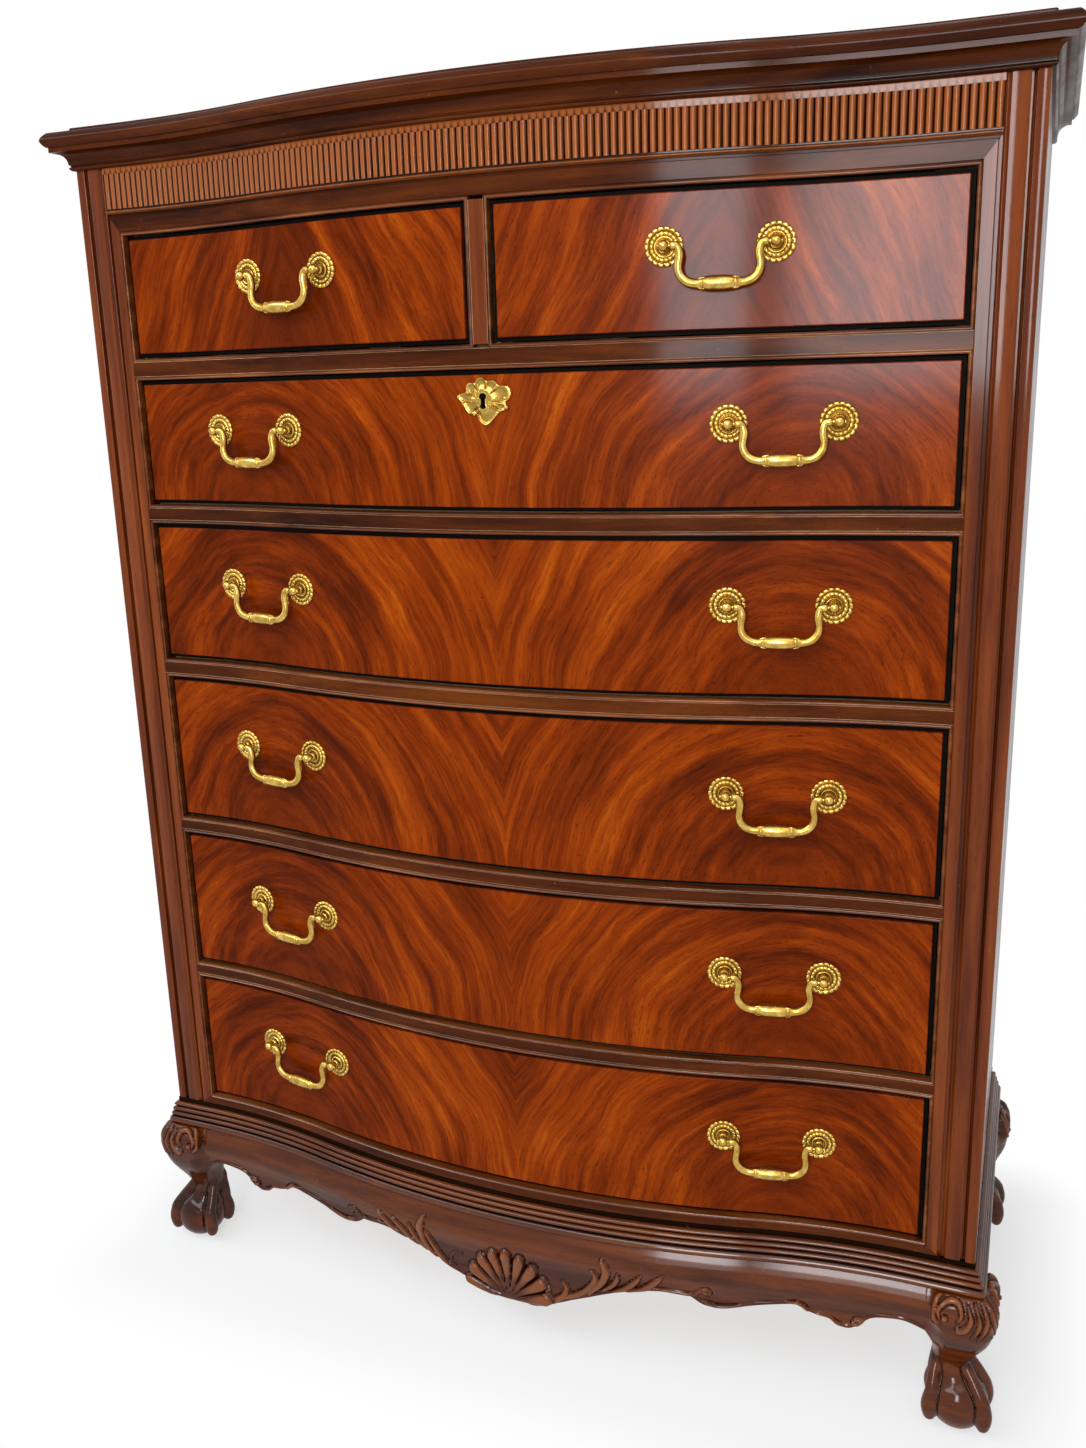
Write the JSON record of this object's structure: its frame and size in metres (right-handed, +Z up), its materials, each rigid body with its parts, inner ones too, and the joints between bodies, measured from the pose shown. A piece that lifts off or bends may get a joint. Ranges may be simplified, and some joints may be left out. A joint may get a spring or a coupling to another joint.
{
  "type": "chest of drawers",
  "caption": "Tall serpentine-front chest with small drawers over long ones, brass bail pulls, a reeded frieze, a shell-carved apron and ball-and-claw feet.",
  "frame": {"origin": "on the floor, at the middle of the width and of the overall depth", "axes": "+Z up, -Y out of the drawer fronts, X across the front"},
  "size_m": [1.0312, 0.471, 1.358],
  "materials": {
    "mahogany": "polished",
    "flame_veneer": "polished",
    "secondary_wood": "matte",
    "brass": "satin",
    "iron": "satin"
  },
  "bodies": {
    "case": {"side_panel_left": "mahogany", "side_panel_right": "mahogany", "back_panel": "secondary_wood", "case_top": "secondary_wood", "top_board": "mahogany", "cornice_moulding": "mahogany", "frieze": "mahogany", "pilasters": "mahogany", "face_frame": "mahogany", "drawer_rails": "mahogany", "drawer_divider": "mahogany", "cock_beading": "mahogany", "drawer_runners": "secondary_wood", "dust_panels": "secondary_wood", "drawer_stops": "secondary_wood", "base_frame": "secondary_wood", "base_moulding": "mahogany", "apron_front": "mahogany", "apron_sides": "mahogany", "foot_front_left": "mahogany", "foot_front_right": "mahogany", "foot_back_left": "mahogany", "foot_back_right": "mahogany"},
    "drawer_1_left": {"drawer_1_left_front": "flame_veneer", "drawer_1_left_box": "secondary_wood", "drawer_1_left_pulls": "brass"},
    "drawer_1_right": {"drawer_1_right_front": "flame_veneer", "drawer_1_right_box": "secondary_wood", "drawer_1_right_pulls": "brass"},
    "drawer_2": {"drawer_2_front": "flame_veneer", "drawer_2_box": "secondary_wood", "drawer_2_pulls": "brass", "escutcheon": "brass", "lock_case": "brass"},
    "drawer_3": {"drawer_3_front": "flame_veneer", "drawer_3_box": "secondary_wood", "drawer_3_pulls": "brass"},
    "drawer_4": {"drawer_4_front": "flame_veneer", "drawer_4_box": "secondary_wood", "drawer_4_pulls": "brass"},
    "drawer_5": {"drawer_5_front": "flame_veneer", "drawer_5_box": "secondary_wood", "drawer_5_pulls": "brass"},
    "drawer_6": {"drawer_6_front": "flame_veneer", "drawer_6_box": "secondary_wood", "drawer_6_pulls": "brass"},
    "lock_bolt": {"lock_bolt": "iron"},
    "bail_1_left": {"bail_1_left": "brass"},
    "bail_2_left": {"bail_2_left": "brass"},
    "bail_3_left": {"bail_3_left": "brass"},
    "bail_4_left": {"bail_4_left": "brass"},
    "bail_5_left": {"bail_5_left": "brass"},
    "bail_6_left": {"bail_6_left": "brass"},
    "bail_1_right": {"bail_1_right": "brass"},
    "bail_2_right": {"bail_2_right": "brass"},
    "bail_3_right": {"bail_3_right": "brass"},
    "bail_4_right": {"bail_4_right": "brass"},
    "bail_5_right": {"bail_5_right": "brass"},
    "bail_6_right": {"bail_6_right": "brass"}
  },
  "joints": [
    {"name": "drawer_1_left_slide", "type": "slide", "parent": "case", "child": "drawer_1_left", "axis": [0, -1, 0], "range_m": [0, 0.28]},
    {"name": "drawer_1_right_slide", "type": "slide", "parent": "case", "child": "drawer_1_right", "axis": [0, -1, 0], "range_m": [0, 0.28]},
    {"name": "drawer_2_slide", "type": "slide", "parent": "case", "child": "drawer_2", "axis": [0, -1, 0], "range_m": [0, 0.28]},
    {"name": "drawer_3_slide", "type": "slide", "parent": "case", "child": "drawer_3", "axis": [0, -1, 0], "range_m": [0, 0.28]},
    {"name": "drawer_4_slide", "type": "slide", "parent": "case", "child": "drawer_4", "axis": [0, -1, 0], "range_m": [0, 0.28]},
    {"name": "drawer_5_slide", "type": "slide", "parent": "case", "child": "drawer_5", "axis": [0, -1, 0], "range_m": [0, 0.28]},
    {"name": "drawer_6_slide", "type": "slide", "parent": "case", "child": "drawer_6", "axis": [0, -1, 0], "range_m": [0, 0.28]},
    {"name": "lock_bolt_slide", "type": "slide", "parent": "drawer_2", "child": "lock_bolt", "axis": [0, 0, 1], "range_m": [0, 0.008]},
    {"name": "bail_1_left_swing", "type": "hinge", "parent": "drawer_1_left", "child": "bail_1_left", "pos_m": [-0.22532, -0.19911, 1.1955], "axis": [-0.9831, 0.1829, 0], "range_deg": [-8, 185]},
    {"name": "bail_2_left_swing", "type": "hinge", "parent": "drawer_2", "child": "bail_2_left", "pos_m": [-0.28216, -0.18955, 1.041], "axis": [-0.9836, 0.1801, 0], "range_deg": [-8, 185]},
    {"name": "bail_3_left_swing", "type": "hinge", "parent": "drawer_3", "child": "bail_3_left", "pos_m": [-0.28216, -0.18955, 0.874], "axis": [-0.9836, 0.1801, 0], "range_deg": [-8, 185]},
    {"name": "bail_4_left_swing", "type": "hinge", "parent": "drawer_4", "child": "bail_4_left", "pos_m": [-0.28216, -0.18955, 0.688], "axis": [-0.9836, 0.1801, 0], "range_deg": [-8, 185]},
    {"name": "bail_5_left_swing", "type": "hinge", "parent": "drawer_5", "child": "bail_5_left", "pos_m": [-0.28216, -0.18955, 0.497], "axis": [-0.9836, 0.1801, 0], "range_deg": [-8, 185]},
    {"name": "bail_6_left_swing", "type": "hinge", "parent": "drawer_6", "child": "bail_6_left", "pos_m": [-0.28216, -0.18955, 0.31], "axis": [-0.9836, 0.1801, 0], "range_deg": [-8, 185]},
    {"name": "bail_1_right_swing", "type": "hinge", "parent": "drawer_1_right", "child": "bail_1_right", "pos_m": [0.22532, -0.19911, 1.1955], "axis": [-0.9831, -0.1829, 0], "range_deg": [-8, 185]},
    {"name": "bail_2_right_swing", "type": "hinge", "parent": "drawer_2", "child": "bail_2_right", "pos_m": [0.28216, -0.18955, 1.041], "axis": [-0.9836, -0.1801, 0], "range_deg": [-8, 185]},
    {"name": "bail_3_right_swing", "type": "hinge", "parent": "drawer_3", "child": "bail_3_right", "pos_m": [0.28216, -0.18955, 0.874], "axis": [-0.9836, -0.1801, 0], "range_deg": [-8, 185]},
    {"name": "bail_4_right_swing", "type": "hinge", "parent": "drawer_4", "child": "bail_4_right", "pos_m": [0.28216, -0.18955, 0.688], "axis": [-0.9836, -0.1801, 0], "range_deg": [-8, 185]},
    {"name": "bail_5_right_swing", "type": "hinge", "parent": "drawer_5", "child": "bail_5_right", "pos_m": [0.28216, -0.18955, 0.497], "axis": [-0.9836, -0.1801, 0], "range_deg": [-8, 185]},
    {"name": "bail_6_right_swing", "type": "hinge", "parent": "drawer_6", "child": "bail_6_right", "pos_m": [0.28216, -0.18955, 0.31], "axis": [-0.9836, -0.1801, 0], "range_deg": [-8, 185]}
  ]
}
